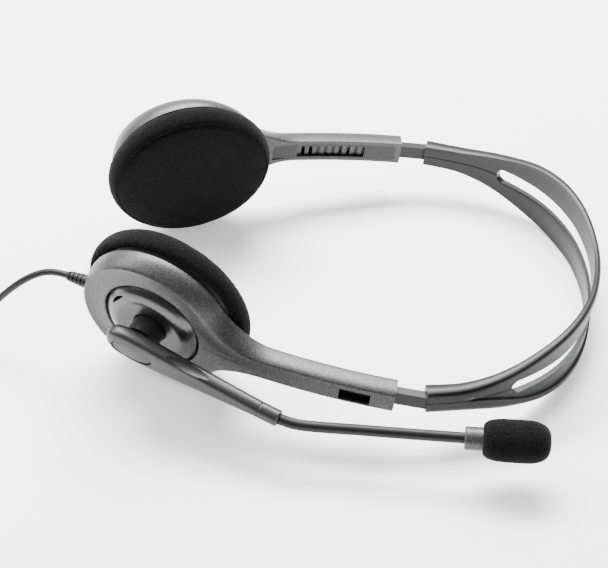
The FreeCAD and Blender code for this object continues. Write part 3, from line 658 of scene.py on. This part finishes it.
def carve(thing, cutters):
    """Cuts the cutters out of a piece and throws them away."""
    for cutter in cutters:
        cut = thing.modifiers.new("cut", "BOOLEAN")
        cut.operation = "DIFFERENCE"
        cut.solver = "EXACT"
        cut.object = cutter
        apply_modifiers(thing)
        bpy.data.objects.remove(cutter)


SLIDER_LINE = (-12.5, 30.0)
NOTCH_ENDS = [26.0 - 3.5 * step for step in range(6)]
NOTCH_LENGTH = 1.5
# Half the strip's thickness and half its width, then what each notch cuts away: inner, outer, low, high.
SLIDER_HALF = (1.4, 2.35)
NOTCH_CUTS = [(-3, 3, 1.35, 3.2), (-3, -0.5, -1.5, 1.4)]


def make_slider(side):
    """The strip in the arm's channel, with the notches of its rack along the upper edge and inner face."""
    thick, wide = SLIDER_HALF
    slider = arc_block(side, *SLIDER_LINE, -thick, thick, -wide, wide)
    slider.name = f"slider_skin_{side}"
    carve(slider, [arc_block(side, end - NOTCH_LENGTH, end, *cut)
                   for end in NOTCH_ENDS for cut in NOTCH_CUTS])
    finish_mesh(slider.data, 30)
    slider.data.materials.append(SLIDER_PLASTIC)
    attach(slider, "headband")
    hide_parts(f"slider_{side}")


# ---------------------------------------------------------------- headband

BAND_PLANE = Matrix.Translation((0.0825, 0.0098, 0.01205)) @ Matrix.Rotation(math.radians(4.2), 4, "Y")
# The band's middle line from its crown to a sleeve, and its half width there, in mm.
BAND_HALF = [(0, 0, 11.3), (-2.4, 18.6, 12.1), (-8.3, 33.0, 12.3), (-17.1, 44.2, 10.7), (-29.4, 53.1, 7.0),
             (-41.8, 58.0, 4.4), (-54.4, 60.6, 3.9)]
SLOT_END = 0.70
SLOT_HALF = 2.7
SLOT_ROUND = 0.030
RECESS_START = 0.62
RECESS_END = 0.90
RECESS_DEPTH = 0.75
RECESS_RAMP = 5
RAIL_WIDTH = 3.1
RAIL_LIP = 0.35
SLOT_RIM = 0.2
CREASE_GAP = 0.25
LINING_DEPTH = 0.30
LINING_FADE = (0.75, 0.95)
# The band's thickness is the first number at the crown, and both together at a sleeve.
BAND_THICKNESS = (2.2, 2.8)
# Where sections are added towards the slot's ends, as shares of the band.
SLOT_STEPS = (0.0, 0.002, 0.006, 0.012, 0.02, 0.03)


def band_samples():
    """The middle line as (share from -1 to 1, place, half width), close together near the slot's ends."""
    mirrored = [Vector((x, -y, half)) for x, y, half in reversed(BAND_HALF[1:])]
    dense = rounded(mirrored + [Vector(row) for row in BAND_HALF], steps=24)
    lengths = [0.0]
    for before, after in zip(dense, dense[1:]):
        lengths.append(lengths[-1] + (after.xy - before.xy).length)
    shares = [2 * length / lengths[-1] - 1 for length in lengths]
    return list(zip(shares, dense))


def slot_height(share):
    """Half the slot's height, with a round end."""
    left = SLOT_END - abs(share)
    if left <= 0:
        return 0.0
    if left >= SLOT_ROUND:
        return SLOT_HALF
    return SLOT_HALF * math.sqrt(1 - (1 - left / SLOT_ROUND) ** 2)


def band_columns(share, half):
    """One half section, from the slot to the edge: (height, outer depth, inner depth) in mm."""
    slot = slot_height(share)
    fade = 1 - smoothstep(RECESS_START, RECESS_END, abs(share))
    crease = max(slot + CREASE_GAP, (half - RAIL_WIDTH) * fade)
    depth = RECESS_DEPTH * min(1, fade * RECESS_RAMP)
    lip = min(RAIL_LIP, (half - crease) / 4)
    lining = LINING_DEPTH * (1 - smoothstep(*LINING_FADE, abs(share)))
    heights = [slot, slot + SLOT_RIM, (slot + crease) / 2, crease, crease + lip, (crease + half) / 2,
               half - 0.9, half - 0.3, half]
    outer = [depth + 0.15, depth, depth, depth, 0.05, 0, 0.05, 0.3, 0.75]
    inner = [lining + 0.15, lining, lining, lining, lining, lining, lining * 0.4, 0.1, 0.55]
    return list(zip(heights, outer, inner))


def make_headband():
    """The slotted band: rails along both edges, a recessed middle outside and sleeves at its ends."""
    samples = band_samples()
    extra = [end * (SLOT_END - step) for end in (-1, 1) for step in SLOT_STEPS]
    shares = sorted({round(share, 4) for share, _ in samples} | {round(share, 4) for share in extra})
    work = bmesh.new()
    sections = []
    for share in shares:
        after = next(i for i, (mark, _) in enumerate(samples) if mark >= share - 1e-6)
        after = max(after, 1)
        (low_mark, low), (high_mark, high) = samples[after - 1], samples[after]
        spot = low.lerp(high, min(max((share - low_mark) / (high_mark - low_mark), 0), 1))
        ahead = samples[min(after + 1, len(samples) - 1)][1]
        behind = samples[max(after - 2, 0)][1]
        tangent = (ahead.xy - behind.xy).normalized()
        normal = Vector((tangent.y, -tangent.x))
        thick = BAND_THICKNESS[0] + BAND_THICKNESS[1] * share ** 2
        halves = []
        for way in (1, -1):
            outer_line, inner_line = [], []
            for height, outer, inner in band_columns(share, spot.z):
                for line, offset in ((outer_line, thick / 2 - outer), (inner_line, inner - thick / 2)):
                    flat = spot.xy + normal * offset
                    corner = Vector((flat.x * MM, flat.y * MM, way * height * MM))
                    line.append(work.verts.new(BAND_PLANE @ corner))
            halves.append((outer_line, inner_line))
        sections.append((share, halves))
    for (share, before), (next_share, after) in zip(sections, sections[1:]):
        for (outer, inner), (next_outer, next_inner) in zip(before, after):
            for line, next_line in ((outer, next_outer), (inner, next_inner)):
                for i in range(len(line) - 1):
                    work.faces.new((line[i], line[i + 1], next_line[i + 1], next_line[i]))
            work.faces.new((outer[-1], inner[-1], next_inner[-1], next_outer[-1]))
            if slot_height(share) > 0 or slot_height(next_share) > 0:
                work.faces.new((outer[0], inner[0], next_inner[0], next_outer[0]))
    for _, halves in (sections[0], sections[-1]):
        (top_outer, top_inner), (low_outer, low_inner) = halves
        work.faces.new(top_outer + top_inner[::-1])
        work.faces.new(low_outer + low_inner[::-1])
    weld(work)
    band = to_object(work, "headband_skin")
    finish_mesh(band.data, 38)
    band.data.materials.append(BAND_PLASTIC)
    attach(band, "headband")
    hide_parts("headband")


# ---------------------------------------------------------------- dials, boom, gooseneck

# The dials' profile as (radius, height): the edge, the crest, and the middle of each side's dial.
DIAL_EDGE = [(15.6, 2.85), (15.9, 2.95), (15.9, 4.7), (15.75, 5.2), (15.2, 5.9)]
DIAL_CREST = [(15.2, 5.9), (14.0, 6.9), (12.4, 7.6), (11.0, 7.8), (9.0, 7.45), (7.0, 7.1), (6.0, 7.0)]
DIAL_MIDDLE = {"left": [(5.6, 6.8), (5.5, 4.5), (6.6, 4.4), (6.6, 2.85)], "right": [(3.0, 6.85), (0, 6.8)]}


def make_dials():
    """The left dial is a dish with a ring-shaped crest round the boom's hub; the right one is closed."""
    for side in SIDES:
        base = cup_base(side)
        line = DIAL_EDGE + rounded(DIAL_CREST)[1:] + DIAL_MIDDLE[side]
        dial = lathe(f"dial_{side}", line, base, segments=128, closed=side == "left")
        if side == "left":
            carve(dial, [dial_slit(base)])
        finish_mesh(dial.data, 35)
        dial.data.materials.append(DIAL_SILVER)
        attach(dial, f"arm_{side}")
        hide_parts("mic_dial" if side == "left" else "side_cap")


SLIT_RADIUS = 13.6
SLIT_START = 131
SLIT_SPAN = 26
SLIT_STEPS = 8
SLIT_HALF = 0.45
SLIT_END_HALF = 0.08


def dial_slit(base):
    """A short slit along the dial's edge, to cut with."""
    rings = []
    for step in range(SLIT_STEPS + 1):
        angle = math.radians(SLIT_START + SLIT_SPAN * step / SLIT_STEPS)
        wide = SLIT_HALF * math.sin(math.pi * (0.06 + 0.88 * step / SLIT_STEPS)) + SLIT_END_HALF
        inner, outer = SLIT_RADIUS - wide, SLIT_RADIUS + wide
        rings.append([Vector((radius * MM * math.cos(angle), radius * MM * math.sin(angle), height * MM))
                      for radius, height in ((inner, 5), (outer, 5), (outer, 10), (inner, 10))])
    return loft("slit", rings, base)


# Sections along the boom: distance, half width, thickness in front and behind, squareness, shift upward.
BOOM_SECTIONS = [
    (-9.6, 0.9, 1.0, 1.2, 2.0, 0.7), (-9.45, 1.8, 1.5, 1.7, 2.2, 0.7), (-8.9, 2.8, 2.1, 2.2, 2.5, 0.65),
    (-8.0, 3.8, 2.5, 2.5, 2.8, 0.6), (-6.4, 4.6, 2.75, 2.7, 3.1, 0.55), (-4.0, 5.05, 2.85, 2.8, 3.4, 0.5),
    (0, 5.15, 2.9, 2.8, 3.6, 0.4), (5, 5.0, 2.9, 2.8, 3.6, 0.25), (9, 4.7, 2.88, 2.78, 3.4, 0.15),
    (14, 4.3, 2.83, 2.74, 3.2, 0.05), (20, 3.85, 2.76, 2.7, 3.0, 0), (27, 3.4, 2.7, 2.65, 2.7, 0),
    (34, 3.0, 2.65, 2.62, 2.4, 0), (40, 2.72, 2.62, 2.6, 2.1, 0), (42.6, 2.62, 2.6, 2.6, 2.0, 0),
    (42.9, 2.6, 2.6, 2.6, 2.0, 0), (42.97, 2.5, 2.5, 2.5, 2.0, 0), (42.98, 1.9, 1.9, 1.9, 2.0, 0),
]
BOOM_POINTS = 40
# Shapes turned at a radius of 1 and then stretched to these half sizes in mm.
SEAT_PROFILE = [(0, 1.9), (1, 1.9), (1, 4), (0, 4)]
SEAT_HALF = (7.0, 3.3, 1, 1)
SCOOP_PROFILE = [(0, -1), (0.38, -0.92), (0.71, -0.71), (0.92, -0.38), (1, 0), (0.92, 0.38), (0.71, 0.71),
                 (0.38, 0.92), (0, 1)]
SCOOP_HALF = (9.5, 1.8, 2.6, 1)
SCOOP_PLACE = (0.0205, 0.0049, 0.0012)
BADGE_PROFILE = [(0, 1.95), (0.97, 1.95), (1, 2.1), (1, 2.4), (0.98, 2.52), (0.93, 2.58), (0, 2.66)]
BADGE_HALF = (6.7, 3.0, 1, 1)


def make_boom():
    """The boom's two halves as one skin, with the badge's seat and a scoop in its upper side."""
    place = boom_frame()
    rings = []
    for distance, half, front, behind, squareness, shift in BOOM_SECTIONS:
        ring = []
        for step in range(BOOM_POINTS):
            angle = 2 * math.pi * step / BOOM_POINTS
            across, out = math.cos(angle), math.sin(angle)
            power = 2 / squareness
            y = shift + half * math.copysign(abs(across) ** power, across)
            z = (front if out > 0 else behind) * math.copysign(abs(out) ** power, out)
            ring.append((distance * MM, y * MM, z * MM))
        rings.append(ring)
    boom = loft("boom_skin", rings, place)
    smooth = boom.modifiers.new("smooth", "SUBSURF")
    smooth.levels = smooth.render_levels = 2
    apply_modifiers(boom)
    seat = lathe("badge_seat", SEAT_PROFILE, Matrix.Diagonal(SEAT_HALF), segments=72)
    scoop = lathe("scoop", SCOOP_PROFILE, Matrix.Translation(SCOOP_PLACE) @ Matrix.Diagonal(SCOOP_HALF),
                  segments=48)
    for cutter in (seat, scoop):
        cutter.data.transform(place)
    carve(boom, [seat, scoop])
    finish_mesh(boom.data, 50)
    boom.data.materials.append(BOOM_SILVER)
    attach(boom, "boom")
    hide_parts("boom_front", "boom_back")


def make_badge():
    """A plain oval plate, sunk a little in its seat."""
    place = boom_frame()
    badge = lathe("badge_skin", BADGE_PROFILE, Matrix.Diagonal(BADGE_HALF), segments=96)
    badge.data.transform(place)
    finish_mesh(badge.data, 50)
    badge.data.materials.append(BOOM_SILVER)
    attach(badge, "boom")
    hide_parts("boom_badge")


def tube(name, path, radius, around=20):
    """A round tube along a line of points."""
    rings = []
    side = Vector((0, 0, 1))
    for index, point in enumerate(path):
        tangent = (path[min(index + 1, len(path) - 1)] - path[max(index - 1, 0)]).normalized()
        side = (side - tangent * side.dot(tangent)).normalized()
        other = tangent.cross(side)
        rings.append([point + (side * math.cos(2 * math.pi * i / around)
                               + other * math.sin(2 * math.pi * i / around)) * radius
                      for i in range(around)])
    return loft(name, rings)


# The gooseneck's middle line in the boom's frame, in mm.
GOOSENECK_POINTS = [
    (43.2, 0, 0), (47, 0, 0), (50.5, 0.05, -0.1), (55.0, 0.35, -0.9), (61.0, 1.2, -2.9), (71, 2.85, -6.7),
    (82, 4.5, -10.9), (93, 6.25, -15.1), (100.8, 7.5, -18.1), (103.4, 7.92, -19.1),
]
GOOSENECK_RADIUS = 1.7 * MM


def make_gooseneck():
    """The flexible stem, which bends smoothly from the boom to the microphone."""
    place = boom_frame()
    path = [place @ (point * MM) for point in rounded(GOOSENECK_POINTS, steps=8)]
    neck = tube("gooseneck_sleeve", path, GOOSENECK_RADIUS)
    finish_mesh(neck.data, 60)
    neck.data.materials.append(CORD_RUBBER)
    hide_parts("gooseneck")
    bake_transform(neck)


# ---------------------------------------------------------------- stage

FLOOR_SIZE = 3.0
FLOOR_GAP = 0.0001
# The sky's grey along this direction, and how bright it is.
SKY_DIRECTION = (-0.15, 0.55, 0.82)
SKY_GREYS = ((0.0, 0.06), (0.4, 0.22), (0.8, 1.0))
SKY_STRENGTH = 1.7


def make_stage():
    work = bmesh.new()
    bmesh.ops.create_grid(work, x_segments=1, y_segments=1, size=FLOOR_SIZE)
    mesh = bpy.data.meshes.new("floor")
    work.to_mesh(mesh)
    work.free()
    floor = mesh_object("floor", mesh)
    floor.location.z = -FLOOR_GAP
    paper = Shader("paper", Roughness=0.9, Emission_Color=(1, 1, 1, 1), Emission_Strength=0.55)
    paper.colour(paper.ramp(paper.noise(60, detail=4), [(0.3, 0.93), (0.7, 0.95)]))
    floor.data.materials.append(paper.material)


def area_light(name, spot, size, power, aim=(0, 0, 0.02)):
    lamp = bpy.data.lights.new(name, "AREA")
    lamp.shape = "RECTANGLE"
    lamp.size, lamp.size_y = size
    lamp.energy = power
    thing = bpy.data.objects.new(name, lamp)
    thing.location = spot
    thing.rotation_euler = (Vector(aim) - Vector(spot)).to_track_quat("-Z", "Y").to_euler()
    bpy.context.scene.collection.objects.link(thing)


def make_world():
    """A studio that is bright above and behind, and darker in front."""
    world = bpy.data.worlds.new("studio")
    world.use_nodes = True
    nodes, links = world.node_tree.nodes, world.node_tree.links
    direction = nodes.new("ShaderNodeTexCoord").outputs["Generated"]
    along = nodes.new("ShaderNodeVectorMath")
    along.operation = "DOT_PRODUCT"
    along.inputs[1].default_value = SKY_DIRECTION
    links.new(direction, along.inputs[0])
    shade = nodes.new("ShaderNodeValToRGB")
    marks = shade.color_ramp.elements
    marks.new(0.5)
    for mark, (position, grey) in zip(marks, SKY_GREYS):
        mark.position = position
        mark.color = (grey, grey, grey, 1)
    links.new(along.outputs["Value"], shade.inputs["Fac"])
    links.new(shade.outputs["Color"], nodes["Background"].inputs["Color"])
    nodes["Background"].inputs["Strength"].default_value = SKY_STRENGTH
    bpy.context.scene.world = world


def make_lights():
    area_light("overhead", (-0.1, 0.45, 0.75), (0.8, 0.35), 40)
    area_light("left_fill", (-0.7, 0.1, 0.6), (0.3, 0.3), 6)


make_camera()
make_cord()
dress_nodes()
make_headband()
for side in SIDES:
    make_arm(side)
    make_slider(side)
    make_ear_pad(side)
make_dials()
make_boom()
make_badge()
make_gooseneck()
make_windscreen()
make_stage()
make_world()
make_lights()
